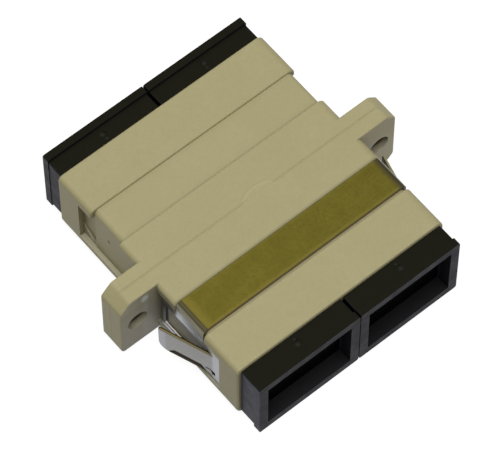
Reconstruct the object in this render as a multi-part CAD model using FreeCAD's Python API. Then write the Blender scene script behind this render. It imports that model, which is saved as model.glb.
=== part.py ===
import FreeCAD, Part
import os

V = FreeCAD.Vector

# Two-port fibre adapter with a screw flange, a spring clip for panel cut-outs and four dust caps.
# Frame: origin at the centre of the adapter; X across the two ports, along the flange;
# Y along the ports (-Y is the front, where the clip is); Z up, the clip's bridge on top.
# All sizes in millimetres.

# Ports and housing
PORT_PITCH = 12.7
PORT_W = 9.1
PORT_WALL_Z = 0.75
PORT_MOUTH_CHAMFER = 0.3
BODY_MARGIN_X = 0.33
BODY_H = 9.0
BODY_L = 27.86
BODY_TOP_R_LEFT = 0.65
BODY_TOP_R_RIGHT = 1.0
BODY_BOTTOM_R = 1.0
BODY_END_R = 0.25
SEAM_Y = 0.1
SEAM_CHAMFER = 0.03
KEYWAY_W = 2.5
KEYWAY_L = 3.6

# Flange
EAR_W = 4.48
FLANGE_T = 3.06
EAR_TOP_CHAMFER_LEFT = 1.25
EAR_TOP_CHAMFER_RIGHT = 1.1
EAR_BOTTOM_CHAMFER_LEFT = 0.28
EAR_BOTTOM_CHAMFER_RIGHT = 0.85
EAR_EDGE_R = 0.7
EAR_RIM_R = 0.15
SCREW_INSET = 2.06
SCREW_HOLE_D = 2.4

# Clip seat around each half: a shallow band, a taller opening low on both sides, and a pocket
SEAT_Y0 = 4.35
SEAT_Y1 = 8.74
SEAT_DEPTH_TOP = 0.3
SEAT_DEPTH_SIDE = 0.48
SEAT_EDGE_R = 0.6
SEAT_RIM_R = 0.2
OVERHANG_H = 1.26
POCKET_DEPTH = 0.73
POCKET_END_REAR = 10.76
POCKET_END_FRONT = 11.1
LEDGE_H_REAR = 1.55
LEDGE_H_FRONT = 1.5
RAMP_T = 0.14
RAMP_RISE = 1.2
DIMPLE_D = 0.4
DIMPLE_DEPTH = 0.12
DIMPLE_DROP = 2.14

# Spring clip, one bent sheet
SHEET_T = 0.3
FOLD_R = 0.2
CLIP_GAP_FRONT = 0.24
CLIP_GAP_REAR = 0.03
CLIP_GAP_Z = 0.06
LEG_STEP = 0.03
LEG_STEP_DROP = 0.29
LEG_STEP_H = 0.35
LEG_GAP_FLANGE = 0.41
LEG_CORNER_R = 0.3
BACK_BAR_W = 0.4
FRONT_BAR_W = 1.09
TOP_BAR_H = 1.44
BOTTOM_BAR_H = 0.8
WING_L_LEFT = 6.2
WING_L_RIGHT = 6.7
WING_CUT = 0.05
WING_CORNER_R = 1.3
WING_TOP_R = 0.15
WING_ROLL_R = 0.2
WING_ANGLE_LEFT = 20.4
WING_ANGLE_RIGHT = 14.0

# Dust caps
CAP_GAP = 0.1
LIP_T = 0.85
NECK_L = 2.0
NECK_INSET_X = 0.07
NECK_INSET_Z = 0.3
CAP_RIM_X = 1.08
CAP_RIM_Z = 1.05
CAP_RECESS_DEPTH = 1.65
CAP_EDGE_R = 0.25
PLUG_CLEARANCE = 0.1
PLUG_L = 3.2
PLUG_WALL = 0.8
PIN_MARK_D = 0.7
PIN_MARK_DEPTH = 0.06

# Latch inserts and alignment sleeves
PLATE_SHOULDER = 0.9
PLATE_CLEARANCE = 0.05
PLATE_T = 1.6
BARREL_L = 4.5
BARREL_WALL = 0.7
SLEEVE_BORE = 2.49
SLEEVE_WALL = 0.355
SLEEVE_SLOT = 0.5
SLEEVE_LAND = 0.4
FERRULE_HOLE_D = 2.6
ARM_CLEARANCE = 0.15
ARM_T = 0.65
ARM_H = 3.2
ARM_TIP_GAP = 0.6
HOOK_L = 1.3
HOOK_DEPTH = 0.45

# Sizes that follow from those above
TOP_Z = BODY_H / 2
END_Y = BODY_L / 2
PORT_X = PORT_PITCH / 2
PORT_H = BODY_H - 2 * PORT_WALL_Z
BODY_W = 2 * (PORT_PITCH + BODY_MARGIN_X)
SIDE_X = BODY_W / 2
FLANGE_W = BODY_W + 2 * EAR_W
FLANGE_Y = FLANGE_T / 2
SCREW_X = FLANGE_W / 2 - SCREW_INSET
SEAT_X = SIDE_X - SEAT_DEPTH_SIDE
SEAT_Z = TOP_Z - SEAT_DEPTH_TOP
OVERHANG_Z = TOP_Z - OVERHANG_H
LEDGE_Z_REAR = -TOP_Z + LEDGE_H_REAR
LEDGE_Z_FRONT = -TOP_Z + LEDGE_H_FRONT
POCKET_X = SIDE_X - POCKET_DEPTH

LEG_LOW = LEDGE_Z_FRONT + CLIP_GAP_Z
LEG_HIGH = OVERHANG_Z - CLIP_GAP_Z
LEG_STEP_Z = OVERHANG_Z - LEG_STEP_DROP
LEG_Y0 = FLANGE_Y + LEG_GAP_FLANGE
LEG_Y1 = POCKET_END_FRONT - CLIP_GAP_Z
WINDOW_Y0 = LEG_Y0 + BACK_BAR_W
WINDOW_Y1 = LEG_Y1 - FRONT_BAR_W
WINDOW_Z0 = LEDGE_Z_FRONT + BOTTOM_BAR_H
WINDOW_Z1 = OVERHANG_Z - TOP_BAR_H

LIP_W = PORT_PITCH - CAP_GAP
CAP_END_Y = END_Y + NECK_L + LIP_T
PLATE_W = PORT_W + 2 * PLATE_SHOULDER
SLEEVE_D = SLEEVE_BORE + 2 * SLEEVE_WALL
SLEEVE_L = 2 * (PLATE_T + BARREL_L - SLEEVE_LAND)
ARM_OUTER = PORT_W / 2 - ARM_CLEARANCE
ARM_TIP_Y = END_Y - PLUG_L - ARM_TIP_GAP


def box(x0, x1, y0, y1, z0, z1):
    return Part.makeBox(x1 - x0, y1 - y0, z1 - z0, V(x0, y0, z0))


def centred_box(x, width, y0, y1, height):
    return box(x - width / 2, x + width / 2, y0, y1, -height / 2, height / 2)


def cylinder_y(x, z, y0, y1, diameter):
    return Part.makeCylinder(diameter / 2, y1 - y0, V(x, y0, z), V(0, 1, 0))


def edges_along(shape, axis, keep):
    """Straight edges parallel to an axis whose middle passes the keep test."""
    found = []
    for edge in shape.Edges:
        start = edge.Vertexes[0].Point
        end = edge.Vertexes[-1].Point
        run = end - start
        if run.Length < 1e-6 or abs(abs(run.dot(axis)) - run.Length) > 1e-6:
            continue
        if keep((start + end) * 0.5):
            found.append(edge)
    return found


def edges_in_plane_y(shape, y, keep):
    """Edges that lie in the plane at this y and whose box centre passes the keep test."""
    found = []
    for edge in shape.Edges:
        bounds = edge.BoundBox
        if abs(bounds.YMin - y) < 1e-3 and abs(bounds.YMax - y) < 1e-3 and keep(bounds.Center):
            found.append(edge)
    return found


def turned_to_front(shape):
    """A half turn about Z takes a piece made for the rear port to the front."""
    turned = shape.copy()
    turned.rotate(V(0, 0, 0), V(0, 0, 1), 180)
    return turned


def prism_x(points_yz, x0, x1):
    """A flat outline in Y and Z, drawn at x0 and extruded to x1."""
    corners = [V(x0, y, z) for y, z in points_yz]
    face = Part.Face(Part.makePolygon(corners + corners[:1]))
    return face.extrude(V(x1 - x0, 0, 0))


def prism_y(points_xz, y0, y1):
    """A flat outline in X and Z, drawn at y0 and extruded to y1."""
    corners = [V(x, y0, z) for x, z in points_xz]
    face = Part.Face(Part.makePolygon(corners + corners[:1]))
    return face.extrude(V(0, y1 - y0, 0))


# ---------------------------------------------------------------- housing

def round_cut(plate, side, level, cut):
    """Rounds both edges of one cut corner, by no more than the cut itself."""
    edges = edges_along(plate, V(0, 1, 0), lambda p: p.x * side > 0 and p.z * level > 0)
    return plate.makeFillet(min(EAR_EDGE_R, cut), edges)


def flange_plate(seam, cut_minus, cut_plus):
    """One half of the flange: a plate with a screw hole in each ear. A side's cuts are (bottom, top)."""
    half = FLANGE_W / 2
    low_minus, top_minus = cut_minus
    low_plus, top_plus = cut_plus
    outline = [
        (-half, -TOP_Z + low_minus), (-half + low_minus, -TOP_Z),
        (half - low_plus, -TOP_Z), (half, -TOP_Z + low_plus),
        (half, TOP_Z - top_plus), (half - top_plus, TOP_Z),
        (-half + top_minus, TOP_Z), (-half, TOP_Z - top_minus),
    ]
    plate = prism_y(outline, seam, FLANGE_Y)
    for side, (low, top) in ((-1, cut_minus), (1, cut_plus)):
        plate = round_cut(plate, side, -1, low)
        plate = round_cut(plate, side, 1, top)
    rim = edges_in_plane_y(plate, FLANGE_Y, lambda p: True)
    plate = plate.makeFillet(EAR_RIM_R, rim)
    plate = plate.makeChamfer(SEAM_CHAMFER, edges_in_plane_y(plate, seam, lambda p: True))
    for side in (-1, 1):
        hole = cylinder_y(side * SCREW_X, 0, seam - 1, FLANGE_Y + 1, SCREW_HOLE_D)
        plate = plate.cut(hole)
    return plate


def seat_band(ledge_z):
    """The band taken off around the body, from the ledge up and over the top."""
    band = box(-SIDE_X - 1, SIDE_X + 1, SEAT_Y0, SEAT_Y1, ledge_z, TOP_Z + 1)
    core = box(-SEAT_X, SEAT_X, SEAT_Y0 - 1, SEAT_Y1 + 1, -BODY_H, SEAT_Z)
    upper = edges_along(core, V(0, 1, 0), lambda p: p.z > 0)
    return band.cut(core.makeFillet(SEAT_EDGE_R, upper))


def side_opening(side, pocket_end, ledge_z):
    """The recess low on one side that takes the clip's leg, with its deeper pocket."""
    outer = side * (SIDE_X + 1)
    wall = sorted((side * SEAT_X, outer))
    floor = sorted((side * POCKET_X, outer))
    leg_room = box(wall[0], wall[1], FLANGE_Y, pocket_end, ledge_z, OVERHANG_Z)
    pocket = box(floor[0], floor[1], SEAT_Y1, pocket_end, ledge_z, OVERHANG_Z)
    low = ledge_z + RAMP_RISE * 0.7
    outline = [(SEAT_Y1, ledge_z), (pocket_end, ledge_z), (pocket_end, low + RAMP_RISE), (SEAT_Y1, low)]
    ramp = prism_x(outline, side * POCKET_X, side * (POCKET_X + RAMP_T))
    mark_y = (SEAT_Y0 + SEAT_Y1) / 2
    mark = V(side * (SEAT_X + 1), mark_y, OVERHANG_Z - DIMPLE_DROP)
    dimple = Part.makeCylinder(DIMPLE_D / 2, DIMPLE_DEPTH + 1, mark, V(-side, 0, 0))
    return leg_room.fuse(pocket.cut(ramp)).fuse(dimple)


def port_cavities(seam):
    """Both ports from the end face to the shoulder, and the seats of the insert plates."""
    cavities = []
    for side in (-1, 1):
        x = side * PORT_X
        port = centred_box(x, PORT_W, PLATE_T, END_Y + 1, PORT_H)
        plate_seat = centred_box(x, PLATE_W + 2 * PLATE_CLEARANCE, seam - 1, PLATE_T, PORT_H)
        keyway = box(x - KEYWAY_W / 2, x + KEYWAY_W / 2, END_Y - KEYWAY_L, END_Y + 1, -TOP_Z - 1, 0)
        cavities.append(port.fuse(plate_seat).fuse(keyway).fuse(port_mouth(x)))
    return cavities


def port_mouth(x):
    """The lead-in around a port, a low frustum that widens towards the end face."""
    c = PORT_MOUTH_CHAMFER
    loops = []
    for grow, y in ((0, END_Y - c), (c, END_Y)):
        half_w = PORT_W / 2 + grow
        half_h = PORT_H / 2 + grow
        corners = [V(x + sx * half_w, y, sz * half_h) for sx, sz in ((-1, -1), (1, -1), (1, 1), (-1, 1))]
        loops.append(Part.makePolygon(corners + corners[:1]))
    return Part.makeLoft(loops, True, True)


def on_body_skin(p):
    return abs(p.x) > SIDE_X - 1e-3 or p.z > TOP_Z - 1e-3


def banded_body(ledge_z, top_r_minus, top_r_plus):
    """The block of one half, from inside the flange, rounded and with the clip's band cut around it."""
    body = centred_box(0, BODY_W, FLANGE_Y / 2, END_Y, BODY_H)
    body = body.makeFillet(top_r_minus, edges_along(body, V(0, 1, 0), lambda p: p.z > 0 and p.x < 0))
    body = body.makeFillet(top_r_plus, edges_along(body, V(0, 1, 0), lambda p: p.z > 0 and p.x > SIDE_X - 1e-3))
    body = body.makeFillet(BODY_BOTTOM_R, edges_along(body, V(0, 1, 0), lambda p: p.z < 0))
    body = body.makeFillet(BODY_END_R, edges_in_plane_y(body, END_Y, lambda p: True))
    body = body.cut(seat_band(ledge_z))
    rims = edges_in_plane_y(body, SEAT_Y0, on_body_skin) + edges_in_plane_y(body, SEAT_Y1, on_body_skin)
    return body.makeFillet(SEAT_RIM_R, rims)


def housing_half(seam, pocket_end, ledge_z, minus, plus):
    """One moulded half, made for the rear. A side's edges are (bottom ear cut, top ear cut, body radius)."""
    body = banded_body(ledge_z, minus[2], plus[2])
    for side in (-1, 1):
        body = body.cut(side_opening(side, pocket_end, ledge_z))
    body = body.fuse(flange_plate(seam, minus[:2], plus[:2]))
    for cavity in port_cavities(seam):
        body = body.cut(cavity)
    return body.removeSplitter()


# ---------------------------------------------------------------- spring clip

def clip_bridge():
    """The strip over the top with its two folds, down to where the legs widen."""
    y0 = SEAT_Y0 + CLIP_GAP_REAR
    y1 = SEAT_Y1 - CLIP_GAP_FRONT
    foot = LEG_STEP_Z
    outer = box(-SEAT_X - SHEET_T, SEAT_X + SHEET_T, y0, y1, foot, SEAT_Z + SHEET_T)
    outer = outer.makeFillet(FOLD_R + SHEET_T, edges_along(outer, V(0, 1, 0), lambda p: p.z > SEAT_Z))
    inner = box(-SEAT_X, SEAT_X, y0 - 1, y1 + 1, foot - 1, SEAT_Z)
    inner = inner.makeFillet(FOLD_R, edges_along(inner, V(0, 1, 0), lambda p: p.z > foot))
    return outer.cut(inner)


def leg_sheet(side):
    """Upright sheet of one leg, which steps outwards a little below the fold."""
    inner = SEAT_X
    outer = SEAT_X + SHEET_T
    step_foot = LEG_STEP_Z - LEG_STEP_H
    outline = [
        (inner, LEG_HIGH), (inner, LEG_STEP_Z), (inner + LEG_STEP, step_foot), (inner + LEG_STEP, LEG_LOW),
        (outer + LEG_STEP, LEG_LOW), (outer + LEG_STEP, step_foot), (outer, LEG_STEP_Z), (outer, LEG_HIGH),
    ]
    return prism_y([(side * x, z) for x, z in outline], LEG_Y0, LEG_Y1)


def leg_frame(side):
    """The leg's rounded frame around its window."""
    reach = sorted((side * (SEAT_X - 1), side * (SIDE_X + 1)))
    frame = box(reach[0], reach[1], LEG_Y0, LEG_Y1, LEG_LOW, LEG_HIGH)
    frame = frame.makeFillet(LEG_CORNER_R, edges_along(frame, V(1, 0, 0), lambda p: True))
    frame = frame.cut(box(reach[0], reach[1], WINDOW_Y0, WINDOW_Y1, WINDOW_Z0, WINDOW_Z1))
    return frame.common(leg_sheet(side))


def leg_wing(side, length, angle):
    """The tongue left in the window, hinged at the front bar and bent outwards."""
    outer = side * (SEAT_X + SHEET_T + LEG_STEP)
    x0, x1 = sorted((side * (SEAT_X + LEG_STEP), outer))
    free_y = WINDOW_Y1 - length
    wing = box(x0, x1, free_y, WINDOW_Y1 + SHEET_T / 2, WINDOW_Z0 + WING_CUT, WINDOW_Z1 - WING_CUT)
    low_corner = edges_along(wing, V(1, 0, 0), lambda p: p.y < free_y + 1e-3 and p.z < 0)
    wing = wing.makeFillet(WING_CORNER_R, low_corner)
    top_corner = edges_along(wing, V(1, 0, 0), lambda p: p.y < free_y + 1e-3 and p.z > 0)
    wing = wing.makeFillet(WING_TOP_R, top_corner)
    rolled = edges_along(wing, V(0, 1, 0), lambda p: p.z < 0 and abs(p.x - outer) < 1e-3)
    wing = wing.makeFillet(WING_ROLL_R, rolled)
    wing.rotate(V(outer, WINDOW_Y1, 0), V(0, 0, 1), side * angle)
    return wing


def retaining_clip():
    clip = clip_bridge()
    wings = ((1, WING_L_LEFT, WING_ANGLE_LEFT), (-1, WING_L_RIGHT, WING_ANGLE_RIGHT))
    for side, length, angle in wings:
        clip = clip.fuse(leg_frame(side)).fuse(leg_wing(side, length, angle))
    return turned_to_front(clip.removeSplitter())


# ---------------------------------------------------------------- dust caps

def dust_cap(x):
    """A cap for a rear port: hollow lip and neck outside, hollow plug inside."""
    neck_w = LIP_W - 2 * NECK_INSET_X
    neck_h = BODY_H - 2 * NECK_INSET_Z
    lip = centred_box(x, LIP_W, END_Y + NECK_L, CAP_END_Y, BODY_H)
    lip = lip.makeFillet(CAP_EDGE_R, edges_along(lip, V(0, 1, 0), lambda p: True))
    neck = centred_box(x, neck_w, END_Y, END_Y + NECK_L, neck_h)
    neck = neck.makeFillet(CAP_EDGE_R, edges_along(neck, V(0, 1, 0), lambda p: True))
    plug_w = PORT_W - 2 * PLUG_CLEARANCE
    plug_h = PORT_H - 2 * PLUG_CLEARANCE
    plug = centred_box(x, plug_w, END_Y - PLUG_L, END_Y, plug_h)
    cap = lip.fuse(neck).fuse(plug)
    recess_w = LIP_W - 2 * CAP_RIM_X
    recess_h = BODY_H - 2 * CAP_RIM_Z
    face_recess = centred_box(x, recess_w, CAP_END_Y - CAP_RECESS_DEPTH, CAP_END_Y + 1, recess_h)
    core_w = plug_w - 2 * PLUG_WALL
    core_h = plug_h - 2 * PLUG_WALL
    plug_core = centred_box(x, core_w, END_Y - PLUG_L - 1, END_Y, core_h)
    mark_y = END_Y + NECK_L / 2
    mark = Part.makeCylinder(PIN_MARK_D / 2, 1, V(x, mark_y, neck_h / 2 - PIN_MARK_DEPTH), V(0, 0, 1))
    return cap.cut(face_recess).cut(plug_core).cut(mark).removeSplitter()


# ---------------------------------------------------------------- inside the ports

def latch_arm(x, side):
    """A springy arm with a hook that faces the port's axis."""
    outer = ARM_OUTER
    inner = outer - ARM_T
    hook = inner - HOOK_DEPTH
    outline = [
        (outer, PLATE_T), (outer, ARM_TIP_Y), (inner, ARM_TIP_Y),
        (hook, ARM_TIP_Y - HOOK_L * 0.6), (hook, ARM_TIP_Y - HOOK_L),
        (inner, ARM_TIP_Y - HOOK_L), (inner, PLATE_T),
    ]
    corners = [V(x + side * dx, y, -ARM_H / 2) for dx, y in outline]
    face = Part.Face(Part.makePolygon(corners + corners[:1]))
    return face.extrude(V(0, 0, ARM_H))


def latch_insert(x):
    """Plate, sleeve barrel and two latch arms, moulded as one, made for a rear port."""
    insert = centred_box(x, PLATE_W, 0, PLATE_T, PORT_H - 2 * PLATE_CLEARANCE)
    insert = insert.fuse(cylinder_y(x, 0, PLATE_T, PLATE_T + BARREL_L, SLEEVE_D + 2 * BARREL_WALL))
    for side in (-1, 1):
        insert = insert.fuse(latch_arm(x, side))
    insert = insert.cut(cylinder_y(x, 0, -1, SLEEVE_L / 2, SLEEVE_D))
    insert = insert.cut(cylinder_y(x, 0, SLEEVE_L / 2 - 1, PLATE_T + BARREL_L + 1, FERRULE_HOLE_D))
    return insert.removeSplitter()


def alignment_sleeve(x):
    """A split ceramic tube that runs through both barrels of a port."""
    tube = cylinder_y(x, 0, -SLEEVE_L / 2, SLEEVE_L / 2, SLEEVE_D)
    tube = tube.cut(cylinder_y(x, 0, -SLEEVE_L, SLEEVE_L, SLEEVE_BORE))
    slot = box(x - SLEEVE_SLOT / 2, x + SLEEVE_SLOT / 2, -SLEEVE_L, SLEEVE_L, 0, SLEEVE_D)
    return tube.cut(slot)


def all_pieces():
    left = (EAR_BOTTOM_CHAMFER_LEFT, EAR_TOP_CHAMFER_LEFT, BODY_TOP_R_LEFT)
    right = (EAR_BOTTOM_CHAMFER_RIGHT, EAR_TOP_CHAMFER_RIGHT, BODY_TOP_R_RIGHT)
    front = housing_half(-SEAM_Y, POCKET_END_FRONT, LEDGE_Z_FRONT, right, left)
    pieces = {
        "housing_rear": housing_half(SEAM_Y, POCKET_END_REAR, LEDGE_Z_REAR, left, right),
        "housing_front": turned_to_front(front),
        "retaining_clip": retaining_clip(),
    }
    for name, x in (("left", -PORT_X), ("right", PORT_X)):
        pieces["dust_cap_rear_" + name] = dust_cap(x)
        pieces["dust_cap_front_" + name] = turned_to_front(dust_cap(-x))
        pieces["latch_insert_rear_" + name] = latch_insert(x)
        pieces["latch_insert_front_" + name] = turned_to_front(latch_insert(-x))
        pieces["alignment_sleeve_" + name] = alignment_sleeve(x)
    return pieces


os.makedirs("parts", exist_ok=True)
for node, shape in all_pieces().items():
    shape.exportStep("parts/" + node + ".step")
    bounds = shape.BoundBox
    print("%-28s solids %d valid %s volume %8.2f  x %7.2f %7.2f  y %7.2f %7.2f  z %6.2f %6.2f" % (
        node, len(shape.Solids), shape.isValid(), shape.Volume,
        bounds.XMin, bounds.XMax, bounds.YMin, bounds.YMax, bounds.ZMin, bounds.ZMax))
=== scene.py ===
import math

import bpy
from mathutils import Matrix, Vector


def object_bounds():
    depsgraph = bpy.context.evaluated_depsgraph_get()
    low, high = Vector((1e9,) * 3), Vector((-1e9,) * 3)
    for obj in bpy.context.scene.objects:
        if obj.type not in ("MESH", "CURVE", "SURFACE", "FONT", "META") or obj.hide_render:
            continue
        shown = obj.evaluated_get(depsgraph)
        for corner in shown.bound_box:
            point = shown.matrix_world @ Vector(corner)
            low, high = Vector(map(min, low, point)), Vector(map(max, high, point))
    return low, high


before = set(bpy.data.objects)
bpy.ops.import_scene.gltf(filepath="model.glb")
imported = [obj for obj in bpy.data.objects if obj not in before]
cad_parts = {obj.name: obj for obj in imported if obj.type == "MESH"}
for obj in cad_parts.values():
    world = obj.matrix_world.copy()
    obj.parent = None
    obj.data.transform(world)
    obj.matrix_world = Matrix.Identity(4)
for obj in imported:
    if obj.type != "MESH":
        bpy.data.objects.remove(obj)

MM = 0.001
cad_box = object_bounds()

# Sizes of the CAD model that the looks follow, in millimetres. The front end looks towards negative y.
TOP_Z = cad_box[1][2] / MM
SIDE_X = 13.03
END_Y = 13.93
FLANGE_Y = 1.53
LEDGE_Z = -2.95
# The clip's seat: a band round each housing half
SEAT_NEAR_Y = 4.35
SEAT_FAR_Y = 8.74
SEAT_X = 12.55
SEAT_Z = 4.2
# Screw holes in the flange's ears
SCREW_X = 15.45
SCREW_HOLE_R = 1.2
# The clip's legs, their windows and the wings bent out of them
LEG_X = 12.88
LEG_FRONT_Y = 11.04
BEND_Z = 3.3
WINDOW_REAR_Y = 2.34
WINDOW_FRONT_Y = 9.95
WINDOW_LOW_Z = -2.2
WINDOW_TOP_Z = 1.8
WING_TIP_Y = 4.14
# Sines of the wings' angles, and about the cosine of both
WING_SINE_LEFT = 0.349
WING_SINE_RIGHT = 0.242
WING_COSINE = 0.95
# The caps: middle of each, and the back and side walls of its recess
PORT_X = 6.35
RECESS_Y = 15.13
RECESS_IN_X = 1.0
RECESS_OUT_X = 12.0


# ---------------------------------------------------------------- node helpers

class Graph:
    """A material's node tree, with short calls for the nodes used here. Places are in millimetres."""

    def __init__(self, name):
        self.material = bpy.data.materials.new(name)
        self.material.use_nodes = True
        self.tree = self.material.node_tree
        self.tree.nodes.clear()
        self.output = self.node("OutputMaterial")
        coords = self.node("TexCoord")
        self.position = self.scaled(coords.outputs["Object"], (1.0 / MM,) * 3)
        self.normal = coords.outputs["Normal"]

    def measure(self):
        """Set up what the masks are made of: the place on the object and the way the surface faces."""
        self.x, self.y, self.z = self.axes(self.position)
        self.across, self.along, self.up = self.axes(self.normal)
        self.side = self.math("ABSOLUTE", self.x)
        self.left = self.by_side(1.0, 0.0)
        self.right = self.by_side(0.0, 1.0)

    def by_side(self, on_left, on_right):
        """A value for the left side and one for the right, changing smoothly across the middle."""
        return self.smooth(self.x, -5.0, 5.0, on_left, on_right)

    def node(self, kind, **settings):
        made = self.tree.nodes.new("ShaderNode" + kind)
        for key, value in settings.items():
            setattr(made, key, value)
        return made

    def link(self, source, socket):
        """Connect a socket, or set a plain value."""
        if isinstance(source, bpy.types.NodeSocket):
            self.tree.links.new(source, socket)
        else:
            socket.default_value = source

    def scaled(self, vector, scale):
        made = self.node("VectorMath", operation="MULTIPLY")
        self.link(vector, made.inputs[0])
        self.link(scale, made.inputs[1])
        return made.outputs[0]

    def axes(self, vector):
        split = self.node("SeparateXYZ")
        self.link(vector, split.inputs[0])
        return split.outputs[0], split.outputs[1], split.outputs[2]

    def math(self, operation, a, b=0.0):
        made = self.node("Math", operation=operation)
        self.link(a, made.inputs[0])
        self.link(b, made.inputs[1])
        return made.outputs[0]

    def plus(self, a, b):
        return self.math("ADD", a, b)

    def minus(self, a, b):
        return self.math("SUBTRACT", a, b)

    def times(self, a, b):
        return self.math("MULTIPLY", a, b)

    def distance(self, a, b, centre):
        """Distance from a centre in two axes."""
        da = self.minus(a, centre[0])
        db = self.minus(b, centre[1])
        return self.math("SQRT", self.plus(self.times(da, da), self.times(db, db)))

    def smooth(self, value, low, high, out_low=0.0, out_high=1.0):
        """Smooth step of a value from low to high. A low above the high makes it fall."""
        made = self.node("MapRange", interpolation_type="SMOOTHSTEP")
        ends = {"Value": value, "From Min": low, "From Max": high, "To Min": out_low, "To Max": out_high}
        for name, given in ends.items():
            self.link(given, made.inputs[name])
        return made.outputs[0]

    def band(self, value, low, high, soft):
        """One between low and high, fading over the soft width on both sides."""
        rise = self.smooth(value, low - soft, low)
        fall = self.smooth(value, high, high + soft, 1.0, 0.0)
        return self.times(rise, fall)

    def both(self, *masks):
        """Where all the masks are: their product."""
        product = masks[0]
        for mask in masks[1:]:
            product = self.times(product, mask)
        return product

    def either(self, *masks):
        """Where any of the masks is: the greatest of them."""
        greatest = masks[0]
        for mask in masks[1:]:
            greatest = self.math("MAXIMUM", greatest, mask)
        return greatest

    def outside(self, mask):
        return self.minus(1.0, mask)

    def near(self, a, b, centre, inner, outer):
        """One within the inner distance of a centre in two axes, nothing beyond the outer distance."""
        return self.smooth(self.distance(a, b, centre), outer, inner)

    def crevice(self, reach_mm, low, high, amount):
        """How deep in a corner a point lies, from nothing to the amount."""
        occlusion = self.node("AmbientOcclusion", samples=6)
        occlusion.inputs["Distance"].default_value = reach_mm * MM
        return self.smooth(occlusion.outputs["AO"], low, high, amount, 0.0)

    def noise(self, scale, detail=4.0, roughness=0.55, stretch=None):
        made = self.node("TexNoise")
        vector = self.position if stretch is None else self.scaled(self.position, stretch)
        self.link(vector, made.inputs["Vector"])
        made.inputs["Scale"].default_value = scale
        made.inputs["Detail"].default_value = detail
        made.inputs["Roughness"].default_value = roughness
        return made.outputs["Fac"]

    def mix(self, fac, a, b):
        made = self.node("Mix", data_type="RGBA")
        self.link(fac, made.inputs["Factor"])
        self.link(a, made.inputs["A"])
        self.link(b, made.inputs["B"])
        return made.outputs["Result"]

    def over(self, colour, paint, mask, amount=1.0):
        """The colour with paint laid over it where the mask is."""
        cover = mask if amount == 1.0 else self.times(mask, amount)
        return self.mix(cover, colour, paint)

    def bump(self, height, distance_mm, strength):
        made = self.node("Bump")
        made.inputs["Strength"].default_value = strength
        made.inputs["Distance"].default_value = distance_mm * MM
        self.link(height, made.inputs["Height"])
        return made.outputs["Normal"]

    def principled(self, **sockets):
        shader = self.node("BsdfPrincipled")
        for name, value in sockets.items():
            self.link(value, shader.inputs[name.replace("_", " ")])
        self.tree.links.new(shader.outputs[0], self.output.inputs["Surface"])


def rgb(red, green, blue):
    return (red, green, blue, 1.0)


def seen_directly(tree):
    """One for camera, glossy and transmission rays, to which the surroundings look plain white."""
    path = tree.nodes.new("ShaderNodeLightPath")
    seen = path.outputs["Is Camera Ray"]
    for kind in ("Is Glossy Ray", "Is Transmission Ray"):
        greater = tree.nodes.new("ShaderNodeMath")
        greater.operation = "MAXIMUM"
        tree.links.new(seen, greater.inputs[0])
        tree.links.new(path.outputs[kind], greater.inputs[1])
        seen = greater.outputs[0]
    return seen


# ---------------------------------------------------------------- beige plastic of the two housing halves

def beige_base(g):
    """Faint clouds, blotches and specks."""
    cloud = g.noise(0.22, detail=3.0)
    blotch = g.noise(1.4, detail=3.0)
    speck = g.noise(5.0, detail=2.0, roughness=0.7)
    colour = g.mix(g.smooth(cloud, 0.35, 0.7), rgb(0.416, 0.372, 0.194), rgb(0.430, 0.386, 0.207))
    colour = g.over(colour, rgb(0.385, 0.352, 0.184), g.smooth(blotch, 0.4, 0.7, 0.0, 0.35))
    return g.over(colour, rgb(0.350, 0.310, 0.16), g.smooth(speck, 0.35, 0.7, 0.0, 0.28))


def painted_corner_shade(g, colour, in_hole, ledge):
    """Painted shade in the corners, left out of the open ones, which stay light."""
    front_gap = g.both(
        g.band(g.y, -SEAT_FAR_Y - 0.15, -SEAT_FAR_Y + 0.3, 0.1),
        g.smooth(g.z, BEND_Z, BEND_Z + 0.3))
    rear_step = g.both(
        g.band(g.y, SEAT_FAR_Y - 0.15, SEAT_FAR_Y + 0.05, 0.05),
        g.smooth(g.z, SEAT_Z - 0.1, SEAT_Z - 0.05))
    ear_corner = g.both(
        g.band(g.y, -WINDOW_REAR_Y - 0.16, -FLANGE_Y + 0.08, 0.1),
        g.band(g.side, SEAT_X - 0.1, SIDE_X + 0.1, 0.1),
        g.smooth(g.z, BEND_Z + 0.1, BEND_Z - 0.1))
    open_part = g.either(
        in_hole, front_gap, g.times(ledge, 0.8), g.times(rear_step, 0.7), g.times(ear_corner, 0.8))
    corner_shade = g.both(g.crevice(0.9, 0.45, 0.95, 0.55), g.outside(open_part))
    return g.over(colour, rgb(0.13, 0.12, 0.095), corner_shade)


def opening_rib(g, colour):
    """Painted shadow and painted highlight along the slanted rib in the rear side opening."""
    rib_y, rib_z, wall_x = 10.64, -1.3, -12.5
    off_rib = g.minus(g.minus(g.z, rib_z), g.minus(g.y, rib_y))
    face = g.both(
        g.band(g.y, rib_y - 1.29, rib_y - 0.04, 0.15),
        g.smooth(g.x, wall_x + 0.3, wall_x + 0.25),
        g.smooth(g.x, wall_x, wall_x + 0.04))
    colour = g.over(colour, rgb(0.22, 0.20, 0.14), g.both(g.band(off_rib, -0.34, -0.16, 0.06), face))
    return g.over(colour, rgb(0.95, 0.90, 0.78), g.both(g.band(off_rib, -0.09, 0.09, 0.05), face))


def screw_hole(g, colour, in_hole):
    """Painted light on the hole's wall, painted shadow where the hole runs deep."""
    colour = g.over(colour, rgb(0.41, 0.375, 0.26), in_hole)
    depth = g.plus(g.y, g.times(g.plus(g.z, SCREW_HOLE_R), 0.2))
    deep = g.both(in_hole, g.smooth(depth, -FLANGE_Y + 0.61, -FLANGE_Y + 0.83), g.smooth(g.y, 0.0, -0.1))
    return g.over(colour, rgb(0.045, 0.030, 0.014), deep, 0.85)


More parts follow.
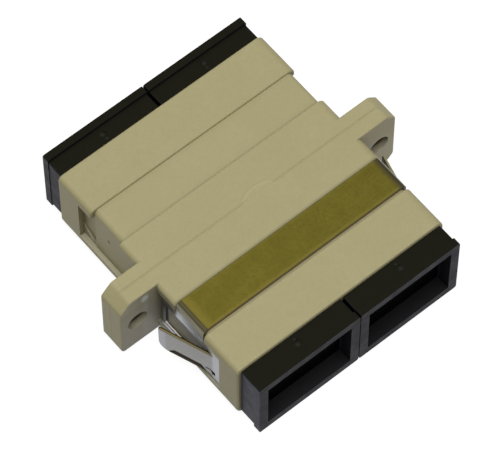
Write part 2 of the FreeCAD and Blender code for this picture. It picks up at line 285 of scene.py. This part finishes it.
def clip_seat(g, colour):
    """The gap in front of the clip, and painted shade on the wall behind it."""
    floor = g.both(
        g.band(g.y, -SEAT_FAR_Y + 0.02, -SEAT_FAR_Y + 0.3, 0.02),
        g.smooth(g.z, BEND_Z, BEND_Z + 0.3),
        g.smooth(g.z, SEAT_Z + 0.1, SEAT_Z + 0.05))
    wall = g.both(
        g.band(g.y, -SEAT_NEAR_Y - 0.05, -SEAT_NEAR_Y + 0.2, 0.15),
        g.smooth(g.z, SEAT_Z, SEAT_Z + 0.1))
    colour = g.over(colour, rgb(0.34, 0.30, 0.17), floor)
    return g.over(colour, rgb(0.24, 0.215, 0.11), wall, 0.45)


def ear_front(g):
    """The front faces of the flange's ears."""
    return g.both(
        g.smooth(g.along, -0.7, -0.9),
        g.smooth(g.side, SEAT_X, SEAT_X + 0.2),
        g.band(g.y, -FLANGE_Y - 0.47, -FLANGE_Y + 0.53, 0.5))


def ear_tone(g, colour, face):
    """Painted light on the ears' front faces, lighter towards their foot."""
    tone = g.mix(g.left, rgb(0.68, 0.61, 0.42), rgb(0.53, 0.51, 0.45))
    return g.over(colour, tone, g.both(face, g.smooth(g.z, 3.6, -2.5, 0.35, 0.85)))


def ear_glint(g, colour, face):
    """Painted reflections on the left ear: warm and darker at its outer side, a glint above the hole and
    a soft sheen.
    """
    glint_x, glint_z, flatness = -14.45, 3.4, 0.75
    warm = g.both(face, g.smooth(g.x, -14.5, -15.2), g.smooth(g.z, 3.2, 2.4))
    colour = g.over(colour, rgb(0.30, 0.25, 0.15), warm, 0.4)
    spot = g.near(g.x, g.times(g.z, flatness), (glint_x, glint_z * flatness), 0.15, 0.65)
    colour = g.over(colour, rgb(0.80, 0.86, 0.80), g.both(face, spot), 0.9)
    sheen = g.both(face, g.band(g.x, glint_x, glint_x + 0.25, 0.25), g.band(g.z, 0.8, 2.6, 0.8))
    return g.over(colour, rgb(0.50, 0.52, 0.50), sheen, 0.35)


def behind_leg(g, colour):
    """Shade on the housing behind the clip's legs, under its top edge and in the slot by the window."""
    wall = g.both(
        g.smooth(g.side, SEAT_X + 0.1, SEAT_X + 0.04),
        g.smooth(g.side, SEAT_X - 0.5, SEAT_X - 0.4),
        g.band(g.y, -LEG_FRONT_Y, -WINDOW_REAR_Y, 0.1),
        g.smooth(g.z, BEND_Z, BEND_Z - 0.2))
    tone = g.mix(g.smooth(g.y, -4.5, -3.0), rgb(0.16, 0.155, 0.135), rgb(0.30, 0.28, 0.23))
    colour = g.over(colour, tone, g.both(wall, g.smooth(g.y, -3.1, -2.7, 0.5, 0.95)))
    edge = g.both(
        g.smooth(g.x, -SIDE_X + 0.28, -SIDE_X + 0.18),
        g.band(g.y, -SEAT_NEAR_Y + 0.05, -FLANGE_Y - 0.07, 0.1),
        g.smooth(g.z, TOP_Z - 0.28, TOP_Z - 0.5))
    colour = g.over(colour, rgb(0.17, 0.16, 0.12), edge, 0.55)
    slot = g.both(
        g.band(g.y, -WINDOW_REAR_Y - 0.32, -WINDOW_REAR_Y + 0.04, 0.06),
        g.band(g.z, WINDOW_LOW_Z + 0.2, WINDOW_TOP_Z - 0.2, 0.2),
        g.smooth(g.x, -SEAT_X - 0.07, -SEAT_X - 0.03),
        g.smooth(g.x, -SEAT_X + 0.05, -SEAT_X + 0.02))
    return g.over(colour, rgb(0.012, 0.010, 0.008), slot)


def arc_masks(g):
    """The faint round mark that meets the seam on top: its inside, its groove and its rim."""
    arc_centre, arc_r = (1.15, -2.45), 3.3
    radius = g.distance(g.x, g.y, arc_centre)
    top = g.smooth(g.z, TOP_Z - 0.05, TOP_Z - 0.02)
    inside = g.both(g.smooth(radius, arc_r, arc_r - 0.2), g.smooth(g.y, -0.4, -0.3), top)
    groove = g.both(g.band(radius, arc_r + 0.12, arc_r + 0.20, 0.1), g.smooth(g.y, 0.2, 0.4), top)
    rim = g.both(g.band(radius, arc_r - 0.16, arc_r, 0.1), g.smooth(g.y, 0.15, 0.35), top)
    return inside, groove, rim


def top_lines(g, colour, in_arc):
    """Lines across the top: painted shade at the rear seat's edge, the seam with its weld line, and
    painted shade along the front edge, in the gap to the caps.
    """
    ridge = g.both(
        g.band(g.y, SEAT_NEAR_Y + 0.02, SEAT_NEAR_Y + 0.15, 0.15),
        g.smooth(g.z, SEAT_Z - 0.1, SEAT_Z))
    colour = g.over(colour, rgb(0.26, 0.24, 0.12), ridge, 0.16)
    seam = g.both(
        g.band(g.y, -0.04, 0.12, 0.18),
        g.smooth(g.z, TOP_Z - 0.2, TOP_Z - 0.1),
        g.smooth(in_arc, 1.0, 0.0))
    colour = g.over(colour, rgb(0.24, 0.22, 0.11), seam, 0.16)
    weld = g.both(
        g.band(g.y, 0.07, 0.13, 0.02),
        g.smooth(g.z, TOP_Z - 0.01, TOP_Z - 0.015),
        g.smooth(in_arc, 0.0, 1.0, 0.4, 0.8))
    colour = g.over(colour, rgb(0.62, 0.56, 0.32), weld)
    front = g.both(g.smooth(g.y, -END_Y + 0.21, -END_Y + 0.09), g.smooth(g.z, TOP_Z - 0.4, TOP_Z - 0.2))
    return g.over(colour, rgb(0.12, 0.105, 0.065), front, 0.5)


def moulded_beige():
    """Semi-matt moulded plastic: fine grain, painted shade in the corners, painted light and highlights
    in places, and the marks of mould and seam.
    """
    g = Graph("moulded_beige")
    g.measure()
    in_hole = g.near(g.side, g.z, (SCREW_X, 0.0), SCREW_HOLE_R + 0.02, SCREW_HOLE_R + 0.08)
    ledge = g.both(g.smooth(g.up, 0.7, 0.9), g.smooth(g.z, LEDGE_Z + 0.3, LEDGE_Z + 0.2))
    # Painted shade in the corners.
    colour = painted_corner_shade(g, beige_base(g), in_hole, ledge)
    # Painted light on the upward face of the ledge.
    colour = g.over(colour, rgb(0.54, 0.51, 0.38), ledge, 0.7)
    colour = opening_rib(g, colour)
    colour = screw_hole(g, colour, in_hole)
    colour = clip_seat(g, colour)
    face = ear_front(g)
    colour = ear_tone(g, colour, face)
    colour = behind_leg(g, colour)
    colour = ear_glint(g, colour, face)
    in_arc, groove, rim = arc_masks(g)
    # Painted shade in the arc's groove and a painted highlight on its rim.
    colour = g.over(colour, rgb(0.24, 0.21, 0.11), groove, 0.1)
    colour = g.over(colour, rgb(0.50, 0.46, 0.28), rim, 0.3)
    colour = top_lines(g, colour, in_arc)
    grain = g.noise(9.0, detail=3.0, roughness=0.6)
    height = g.minus(g.times(grain, 0.5), groove)
    g.principled(
        Base_Color=colour, Roughness=g.smooth(grain, 0.3, 0.7, 0.42, 0.52), Specular_IOR_Level=0.22,
        Normal=g.bump(height, 0.02, 0.5))
    return g.material


# ---------------------------------------------------------------- spring sheet of the clip

def olive_bridge(g, patch, grain):
    """Olive passivation on top, with painted highlights along its edges and by the left bend, and painted
    shade right at the front one.
    """
    colour = g.mix(g.smooth(patch, 0.3, 0.7), rgb(0.100, 0.085, 0.0125), rgb(0.113, 0.095, 0.0150))
    colour = g.over(colour, rgb(0.080, 0.066, 0.010), g.smooth(grain, 0.42, 0.66, 0.0, 0.6))
    rear_edge = g.smooth(g.y, -SEAT_NEAR_Y - 0.45, -SEAT_NEAR_Y, 0.0, 0.35)
    front_edge = g.smooth(g.y, -SEAT_FAR_Y + 0.4, -SEAT_FAR_Y + 0.75, 0.85, 0.0)
    left_end = g.both(g.smooth(g.side, 11.0, 12.0, 0.0, 0.8), g.left)
    bright = g.either(g.plus(rear_edge, front_edge), left_end)
    colour = g.over(colour, rgb(0.137, 0.113, 0.022), bright)
    return g.over(colour, rgb(0.075, 0.058, 0.020), g.smooth(g.y, -SEAT_FAR_Y + 0.38, -SEAT_FAR_Y + 0.32))


def bare_steel(g, patch, grain):
    """Grey sheet of the legs and wings."""
    colour = g.mix(g.smooth(patch, 0.3, 0.7), rgb(0.202, 0.199, 0.195), rgb(0.226, 0.224, 0.222))
    colour = g.over(colour, rgb(0.16, 0.155, 0.145), g.smooth(grain, 0.42, 0.66, 0.0, 0.4))
    past_wing = g.smooth(g.y, -WING_TIP_Y - 1.06, -WING_TIP_Y - 0.56, 0.0, 0.8)
    colour = g.over(colour, rgb(0.29, 0.29, 0.32), past_wing)
    on_leg = g.smooth(g.side, LEG_X + 0.17, LEG_X + 0.10)
    front_bar = g.both(g.smooth(g.y, -WINDOW_FRONT_Y + 0.25, -WINDOW_FRONT_Y - 0.1), on_leg)
    colour = g.over(colour, rgb(0.295, 0.305, 0.328), front_bar)
    return g.over(colour, rgb(0.190, 0.180, 0.128), g.both(g.smooth(g.z, 2.1, 2.6), on_leg))


def wing_curl(g):
    """Where the lower edge of the left wing curls outwards, and its painted tone: a dark reflection of
    the shaded floor.
    """
    curl_z, curl_front_y, curl_rear_y = -1.1, -8.7, -5.9
    drop_rear = g.times(g.math("MAXIMUM", g.minus(g.y, curl_rear_y), 0.0), 1.1)
    drop_front = g.times(g.math("MAXIMUM", g.minus(curl_front_y, g.y), 0.0), 1.4)
    above = g.plus(g.minus(g.z, curl_z), g.plus(drop_rear, drop_front))
    mask = g.both(
        g.smooth(above, 0.1, -0.1),
        g.band(g.y, curl_front_y - 0.6, curl_rear_y + 0.5, 0.15),
        g.smooth(g.x, -LEG_X - 0.10, -LEG_X - 0.18))
    tone = g.mix(g.smooth(above, -0.3, -0.9), rgb(0.080, 0.068, 0.052), rgb(0.26, 0.21, 0.16))
    return mask, tone


def leg_lights(g, colour):
    """The leg's outer face: painted shade above the window, a painted highlight stripe and the darker
    back bar of the window.
    """
    shade = g.both(
        g.smooth(g.y, -WING_TIP_Y - 0.26, -WING_TIP_Y + 0.04),
        g.smooth(g.z, WINDOW_TOP_Z - 0.1, WINDOW_TOP_Z))
    colour = g.over(colour, rgb(0.071, 0.063, 0.046), shade)
    on_face = g.smooth(g.side, LEG_X + 0.12, LEG_X + 0.07)
    stripe_z, stripe_front_y, stripe_rear_y = 2.66, -8.4, -4.4
    stripe_half = g.smooth(g.y, stripe_front_y, stripe_rear_y, 0.24, 0.55)
    off_stripe = g.math("DIVIDE", g.math("ABSOLUTE", g.minus(g.z, stripe_z)), stripe_half)
    stripe = g.both(
        g.smooth(off_stripe, 1.2, 0.75),
        g.band(g.y, stripe_front_y + 0.1, stripe_rear_y - 0.1, 0.15),
        on_face)
    colour = g.over(colour, rgb(0.41, 0.44, 0.49), stripe)
    back_bar = g.both(g.smooth(g.y, -WINDOW_REAR_Y - 0.1, -WINDOW_REAR_Y), on_face)
    return g.over(colour, rgb(0.072, 0.070, 0.055), back_bar)


def window_back(g):
    """The edge of the sheet at the rear of the window, and its tone: a painted highlight on its lower
    part, painted shade above.
    """
    mask = g.both(
        g.smooth(g.along, -0.6, -0.8),
        g.band(g.y, -WINDOW_REAR_Y - 0.05, -WINDOW_REAR_Y + 0.05, 0.05))
    tone = g.mix(g.smooth(g.z, 1.4, -0.8), rgb(0.10, 0.10, 0.09), rgb(0.60, 0.62, 0.64))
    return mask, tone


def window_sill(g, grain):
    """The edge of the sheet below the window: painted shade, with a painted glint along it as a broken
    bright line.
    """
    mask = g.both(
        g.smooth(g.up, 0.8, 0.9),
        g.band(g.z, WINDOW_LOW_Z - 0.08, WINDOW_LOW_Z + 0.05, 0.05),
        g.band(g.y, -WING_TIP_Y - 0.56, -WINDOW_REAR_Y - 0.1, 0.1))
    ragged_side = g.plus(g.side, g.times(g.plus(grain, -0.5), 0.25))
    line = g.band(ragged_side, LEG_X - 0.24, LEG_X - 0.10, 0.03)
    return mask, g.mix(line, rgb(0.06, 0.05, 0.04), rgb(1.0, 0.95, 0.88))


def wing_edge(g, colour):
    """Upper edges of the sheet: a light rim along the outside of each wing, painted shadow further in."""
    faces_up = g.both(g.smooth(g.up, 0.3, 0.7), g.smooth(g.z, 2.5, 2.3))
    wing_sine = g.by_side(WING_SINE_LEFT, WING_SINE_RIGHT)
    inward = g.plus(
        g.times(g.minus(LEG_X, g.side), WING_COSINE),
        g.times(g.plus(g.y, WINDOW_FRONT_Y), wing_sine))
    rim_tone = g.mix(g.right, rgb(0.125, 0.105, 0.040), rgb(0.22, 0.20, 0.095))
    rim_width = g.by_side(0.13, 0.26)
    past_rim = g.smooth(g.minus(inward, rim_width), -0.03, 0.03)
    return g.over(colour, g.mix(past_rim, rim_tone, rgb(0.022, 0.016, 0.010)), faces_up)


def painted_slit_shadow(g):
    """Painted shadow of a small slit at the root of the left wing, wider on the bar in front of it."""
    slit_z = g.smooth(g.y, -WINDOW_FRONT_Y - 0.02, -WINDOW_FRONT_Y + 0.3, -1.68, -1.25)
    slit_half = g.smooth(g.y, -WINDOW_FRONT_Y + 0.03, -WINDOW_FRONT_Y + 0.25, 0.32, 0.1)
    off_slit = g.math("DIVIDE", g.math("ABSOLUTE", g.minus(g.z, slit_z)), slit_half)
    length = g.band(g.y, -WINDOW_FRONT_Y - 0.31, -WINDOW_FRONT_Y + 0.75, 0.06)
    return g.both(g.smooth(off_slit, 1.2, 0.8), length, g.left)


def bends(g, steel, olive):
    """Steel below, a painted dark brown reflection on the bends, olive on the bridge and a painted
    highlight down the far side.

    The change from olive to brown is softer on the right.
    """
    bend = g.both(g.smooth(g.up, 0.6, 0.85), g.smooth(g.z, BEND_Z + 0.1, BEND_Z + 0.3))
    brown = g.mix(g.smooth(g.side, 12.48, 12.6), rgb(0.046, 0.040, 0.021), rgb(0.072, 0.062, 0.032))
    colour = g.over(steel, brown, bend)
    change_from = g.by_side(12.34, 12.5)
    change_to = g.by_side(12.06, 11.7)
    bridge = g.both(g.smooth(g.side, change_from, change_to), g.smooth(g.z, 3.9, 4.1))
    colour = g.over(colour, olive, bridge)
    far_side = g.both(g.smooth(g.across, 0.70, 0.84), g.smooth(g.z, 4.0, 4.1))
    return g.over(colour, rgb(0.46, 0.45, 0.40), far_side)


def spring_sheet():
    """Rolled spring sheet: olive passivation on the bridge, painted dark brown reflections on the bends,
    bare grey legs and wings, and painted highlights and shade in places.
    """
    g = Graph("spring_sheet")
    g.measure()
    lines = g.noise(3.0, detail=5.0, roughness=0.65, stretch=(0.25, 6.0, 6.0))
    patch = g.noise(0.5, detail=3.0)
    grain = g.noise(3.2, detail=5.0, roughness=0.7)
    curl, curl_dark_reflection = wing_curl(g)
    back, back_tone = window_back(g)
    sill, sill_tone = window_sill(g, grain)
    slit = painted_slit_shadow(g)
    # Painted highlight on the outer face of the bar below the window.
    low_bar = g.both(
        g.smooth(g.z, WINDOW_LOW_Z - 0.02, WINDOW_LOW_Z - 0.08),
        g.band(g.y, -WING_TIP_Y - 0.66, -WINDOW_REAR_Y + 0.24, 0.15),
        g.smooth(g.up, 0.4, 0.2))
    steel = g.over(bare_steel(g, patch, grain), curl_dark_reflection, curl)
    steel = g.over(leg_lights(g, steel), back_tone, back)
    steel = g.over(steel, rgb(0.50, 0.52, 0.55), low_bar)
    steel = g.over(wing_edge(g, steel), sill_tone, sill)
    steel = g.over(steel, rgb(0.006, 0.005, 0.005), slit)
    colour = bends(g, steel, olive_bridge(g, patch, grain))
    colour = g.over(colour, rgb(0.07, 0.06, 0.03), g.smooth(lines, 0.45, 0.7, 0.0, 0.12))
    faces_front = g.smooth(g.along, -0.6, -0.8)
    gap_edge = g.both(faces_front, g.smooth(g.z, BEND_Z, BEND_Z + 0.2))
    colour = g.over(colour, rgb(0.13, 0.10, 0.045), gap_edge)
    bar_side = g.both(
        faces_front,
        g.smooth(g.y, -LEG_FRONT_Y + 0.3, -LEG_FRONT_Y + 0.2),
        g.smooth(g.z, BEND_Z, BEND_Z - 0.2))
    colour = g.over(colour, rgb(0.105, 0.085, 0.088), bar_side)
    # Painted shadow of the slit and painted reflection of the curl, kept matt.
    painted_shade_marks = g.either(slit, curl)
    metal = g.outside(g.either(sill, back, painted_shade_marks, gap_edge))
    # Painted shade in the corners of the sheet.
    colour = g.over(colour, rgb(0.035, 0.030, 0.022), g.both(g.crevice(0.5, 0.4, 0.9, 0.6), metal))
    g.principled(
        Base_Color=colour, Metallic=metal, Roughness=g.smooth(lines, 0.3, 0.7, 0.28, 0.4),
        Specular_IOR_Level=g.times(g.outside(painted_shade_marks), 0.5), Normal=g.bump(lines, 0.01, 0.35))
    return g.material


# ---------------------------------------------------------------- the other materials

def cap_black():
    """Smooth black plastic with a faint haze, painted glints on the gate marks on top, painted shade on
    the tops, painted reflections on the sides and ends, and painted light and shadow in the recess.
    """
    g = Graph("cap_black")
    g.measure()
    end = g.math("ABSOLUTE", g.y)
    haze = g.noise(0.8, detail=4.0)
    grain = g.noise(11.0, detail=2.0)
    top = g.both(g.smooth(g.up, 0.8, 0.95), g.smooth(g.z, 2.0, 3.0))
    flank = g.smooth(g.math("ABSOLUTE", g.across), 0.7, 0.9)
    face = g.smooth(g.math("ABSOLUTE", g.along), 0.7, 0.9)
    colour = g.mix(g.smooth(haze, 0.3, 0.75), rgb(0.0060, 0.0058, 0.0048), rgb(0.0085, 0.0082, 0.0070))
    # Painted glints on the gate marks.
    gate = g.either(
        g.near(g.side, end, (PORT_X + 0.15, END_Y + 1.15), 0.1, 0.34),
        g.near(g.side, end, (PORT_X + 0.05, END_Y + 0.52), 0.04, 0.22))
    colour = g.over(colour, rgb(0.031, 0.036, 0.036), g.both(gate, g.smooth(g.z, 4.0, 4.1)))
    # Painted shade on the top faces.
    colour = g.over(colour, rgb(0.0030, 0.0030, 0.0008), top, 0.5)
    # Painted reflections on the sides and ends, lighter at the front.
    flank_tone = g.mix(g.smooth(g.y, 5.0, -5.0), rgb(0.0085, 0.0090, 0.0130), rgb(0.022, 0.023, 0.036))
    colour = g.over(colour, flank_tone, flank)
    colour = g.over(colour, rgb(0.005, 0.005, 0.011), face)
    # Painted light on the recess floor.
    floor = g.both(g.smooth(g.up, 0.7, 0.9), g.smooth(g.z, -3.0, -3.2))
    floor_tone = g.mix(g.smooth(g.x, 3.0, -6.0), rgb(0.013, 0.013, 0.013), rgb(0.016, 0.016, 0.016))
    colour = g.over(colour, floor_tone, floor)
    # Painted shade on the recess sides.
    recess_side = g.both(
        flank,
        g.smooth(end, RECESS_Y + 0.17, RECESS_Y + 0.32),
        g.smooth(g.side, RECESS_OUT_X + 0.2, RECESS_OUT_X),
        g.smooth(g.side, RECESS_IN_X - 0.2, RECESS_IN_X))
    colour = g.over(colour, rgb(0.0055, 0.0055, 0.0070), recess_side)
    # Painted shadow on the recess's back wall and between the caps.
    recess_back = g.both(face, g.smooth(end, RECESS_Y + 0.22, RECESS_Y + 0.12))
    between_caps = g.both(flank, g.smooth(g.side, RECESS_IN_X - 0.2, RECESS_IN_X - 0.4))
    dark = g.either(recess_back, between_caps)
    colour = g.over(colour, rgb(0.001, 0.001, 0.001), dark)
    shine = g.minus(0.26, g.times(top, 0.10))
    shine = g.plus(shine, g.times(flank, g.smooth(g.y, -5.0, 5.0, 0.05, -0.04)))
    shine = g.minus(shine, g.times(face, 0.03))
    shine = g.times(shine, g.outside(g.times(dark, 0.9)))
    g.principled(
        Base_Color=colour, Roughness=g.smooth(haze, 0.3, 0.7, 0.46, 0.56), IOR=1.3,
        Specular_IOR_Level=shine, Specular_Tint=g.mix(top, rgb(0.93, 0.94, 1.0), rgb(1.0, 1.0, 0.6)),
        Normal=g.bump(grain, 0.006, 0.4))
    return g.material


def insert_plastic():
    """Moulded plastic of the latch inserts."""
    g = Graph("insert_plastic")
    cloud = g.noise(0.5, detail=3.0)
    grain = g.noise(9.0)
    colour = g.mix(g.smooth(cloud, 0.3, 0.7), rgb(0.33, 0.31, 0.24), rgb(0.37, 0.35, 0.28))
    g.principled(
        Base_Color=colour, Roughness=g.smooth(grain, 0.3, 0.7, 0.4, 0.5),
        Normal=g.bump(grain, 0.01, 0.4))
    return g.material


def sleeve_ceramic():
    """Ground zirconia."""
    g = Graph("sleeve_ceramic")
    ground = g.noise(6.0, detail=4.0, stretch=(1.0, 0.2, 1.0))
    colour = g.mix(g.smooth(ground, 0.3, 0.7), rgb(0.80, 0.78, 0.73), rgb(0.86, 0.85, 0.81))
    g.principled(
        Base_Color=colour, Roughness=g.smooth(ground, 0.3, 0.7, 0.18, 0.3),
        Normal=g.bump(ground, 0.004, 0.3))
    return g.material


def floor_white():
    """Pale floor that looks white to the camera and in reflections, and keeps a soft shadow."""
    g = Graph("floor_white")
    grain = g.noise(0.6, detail=3.0)
    tone = g.mix(g.smooth(grain, 0.3, 0.7), rgb(0.21, 0.21, 0.21), rgb(0.23, 0.23, 0.23))
    diffuse = g.node("BsdfDiffuse")
    g.link(tone, diffuse.inputs["Color"])
    glow = g.node("Emission")
    glow.inputs["Color"].default_value = rgb(1.0, 1.0, 1.0)
    glow.inputs["Strength"].default_value = 0.88
    lit = g.node("AddShader")
    g.link(diffuse.outputs[0], lit.inputs[0])
    g.link(glow.outputs[0], lit.inputs[1])
    pick = g.node("MixShader")
    g.link(seen_directly(g.tree), pick.inputs[0])
    g.link(diffuse.outputs[0], pick.inputs[1])
    g.link(lit.outputs[0], pick.inputs[2])
    g.link(pick.outputs[0], g.output.inputs["Surface"])
    return g.material


# ---------------------------------------------------------------- every piece gets its material

def dress(names, material):
    for name in names:
        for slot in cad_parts[name].material_slots:
            slot.material = material


PORTS = [(end, side) for end in ("rear", "front") for side in ("left", "right")]

dress(["housing_rear", "housing_front"], moulded_beige())
dress(["retaining_clip"], spring_sheet())
dress(["dust_cap_%s_%s" % port for port in PORTS], cap_black())
dress(["latch_insert_%s_%s" % port for port in PORTS], insert_plastic())
dress(["alignment_sleeve_left", "alignment_sleeve_right"], sleeve_ceramic())


# ---------------------------------------------------------------- floor, light and camera

def add_floor():
    """A wide floor just below the object, clear of its flat underside."""
    half = 1.5
    z = cad_box[0][2] - 0.02 * MM
    mesh = bpy.data.meshes.new("floor")
    corners = [(-half, -half, z), (half, -half, z), (half, half, z), (-half, half, z)]
    mesh.from_pydata(corners, [], [(0, 1, 2, 3)])
    floor = bpy.data.objects.new("floor", mesh)
    bpy.context.scene.collection.objects.link(floor)
    mesh.materials.append(floor_white())


def add_world():
    """Dim white light from all round, and plain white where the world itself is seen."""
    light_strength, seen_strength = 0.2, 1.0
    world = bpy.data.worlds.new("studio")
    bpy.context.scene.world = world
    world.use_nodes = True
    tree = world.node_tree
    tree.nodes.clear()
    pick = tree.nodes.new("ShaderNodeMixShader")
    tree.links.new(seen_directly(tree), pick.inputs[0])
    for socket, strength in ((pick.inputs[1], light_strength), (pick.inputs[2], seen_strength)):
        background = tree.nodes.new("ShaderNodeBackground")
        background.inputs["Color"].default_value = rgb(1.0, 1.0, 1.0)
        background.inputs["Strength"].default_value = strength
        tree.links.new(background.outputs[0], socket)
    output = tree.nodes.new("ShaderNodeOutputWorld")
    tree.links.new(pick.outputs[0], output.inputs["Surface"])


def add_lamp(name, place, size, power):
    """A square area lamp aimed at the object."""
    data = bpy.data.lights.new(name, "AREA")
    data.shape = "SQUARE"
    data.size = size
    data.energy = power
    lamp = bpy.data.objects.new(name, data)
    lamp.location = place
    lamp.rotation_euler = (-Vector(place)).to_track_quat("-Z", "Y").to_euler()
    bpy.context.scene.collection.objects.link(lamp)


def add_camera():
    """A long lens above the front left, as the object is shown."""
    azimuth = math.radians(-39.52)
    elevation = math.radians(61.25)
    distance = 369.44 * MM
    below_top = 2.524 * MM
    level = math.cos(elevation)
    right = Vector((math.cos(azimuth), math.sin(azimuth), 0.0))
    back = Vector((math.sin(azimuth) * level, -math.cos(azimuth) * level, math.sin(elevation)))
    up = back.cross(right)
    data = bpy.data.cameras.new("camera")
    data.lens = 272.0
    data.sensor_width = 36.0
    data.clip_start = 0.01
    camera = bpy.data.objects.new("camera", data)
    camera.matrix_world = Matrix((right, up, back)).transposed().to_4x4()
    camera.location = Vector((0.0, 0.0, TOP_Z * MM)) - up * below_top + back * distance
    bpy.context.scene.collection.objects.link(camera)
    bpy.context.scene.camera = camera


add_floor()
add_world()
add_lamp("overhead", (-0.05, -0.05, 0.6), 0.5, 3.1)
add_camera()
bpy.context.scene.view_settings.view_transform = "Standard"
